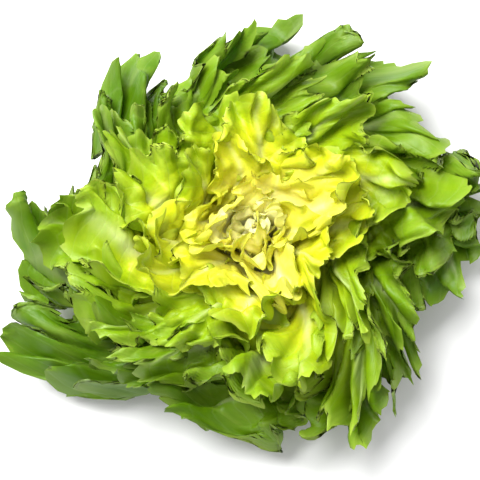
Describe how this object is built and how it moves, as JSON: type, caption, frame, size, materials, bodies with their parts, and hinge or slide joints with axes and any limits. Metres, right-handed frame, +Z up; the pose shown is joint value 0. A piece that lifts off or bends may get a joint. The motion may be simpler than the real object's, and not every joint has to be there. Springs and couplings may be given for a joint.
{
  "type": "head of escarole",
  "caption": "Head of leafy greens: a short cut core with a spiral of broad, frilled leaves, dark outside and pale yellow at the heart, resting on its cut face.",
  "frame": {"origin": "centre of the core's flat cut face, on the surface that the head rests on", "axes": "+Z up along the core's axis; +X to the right and -Y towards the viewer"},
  "size_m": [0.3563, 0.3249, 0.1051],
  "materials": {
    "core": "matt, moist cut stem",
    "outer_leaf": "satin leaf, deep green",
    "middle_leaf": "satin leaf, light green",
    "inner_leaf": "satin leaf, yellow-green",
    "heart_leaf": "satin leaf, pale yellow"
  },
  "bodies": {
    "root": {"core": "core", "outer_leaf_01": "outer_leaf", "outer_leaf_02": "outer_leaf", "outer_leaf_03": "outer_leaf", "outer_leaf_04": "outer_leaf", "outer_leaf_05": "outer_leaf", "outer_leaf_06": "outer_leaf", "outer_leaf_07": "outer_leaf", "outer_leaf_08": "outer_leaf", "outer_leaf_09": "outer_leaf", "outer_leaf_10": "outer_leaf", "outer_leaf_11": "outer_leaf", "outer_leaf_12": "outer_leaf", "outer_leaf_13": "outer_leaf", "outer_leaf_14": "outer_leaf", "outer_leaf_15": "outer_leaf", "outer_leaf_16": "outer_leaf", "outer_leaf_17": "outer_leaf", "middle_leaf_01": "middle_leaf", "middle_leaf_02": "middle_leaf", "middle_leaf_03": "middle_leaf", "middle_leaf_04": "middle_leaf", "middle_leaf_05": "middle_leaf", "middle_leaf_06": "middle_leaf", "middle_leaf_07": "middle_leaf", "middle_leaf_08": "middle_leaf", "middle_leaf_09": "middle_leaf", "middle_leaf_10": "middle_leaf", "middle_leaf_11": "middle_leaf", "middle_leaf_12": "middle_leaf", "middle_leaf_13": "middle_leaf", "middle_leaf_14": "middle_leaf", "middle_leaf_15": "middle_leaf", "middle_leaf_16": "middle_leaf", "inner_leaf_01": "inner_leaf", "inner_leaf_02": "inner_leaf", "inner_leaf_03": "inner_leaf", "inner_leaf_04": "inner_leaf", "inner_leaf_05": "inner_leaf", "inner_leaf_06": "inner_leaf", "inner_leaf_07": "inner_leaf", "inner_leaf_08": "inner_leaf", "inner_leaf_09": "inner_leaf", "inner_leaf_10": "inner_leaf", "inner_leaf_11": "inner_leaf", "inner_leaf_12": "inner_leaf", "inner_leaf_13": "inner_leaf", "inner_leaf_14": "inner_leaf", "heart_leaf_01": "heart_leaf", "heart_leaf_02": "heart_leaf", "heart_leaf_03": "heart_leaf", "heart_leaf_04": "heart_leaf", "heart_leaf_05": "heart_leaf", "heart_leaf_06": "heart_leaf", "heart_leaf_07": "heart_leaf", "heart_leaf_08": "heart_leaf", "heart_leaf_09": "heart_leaf", "heart_leaf_10": "heart_leaf", "heart_leaf_11": "heart_leaf", "heart_leaf_12": "heart_leaf"}
  },
  "joints": []
}
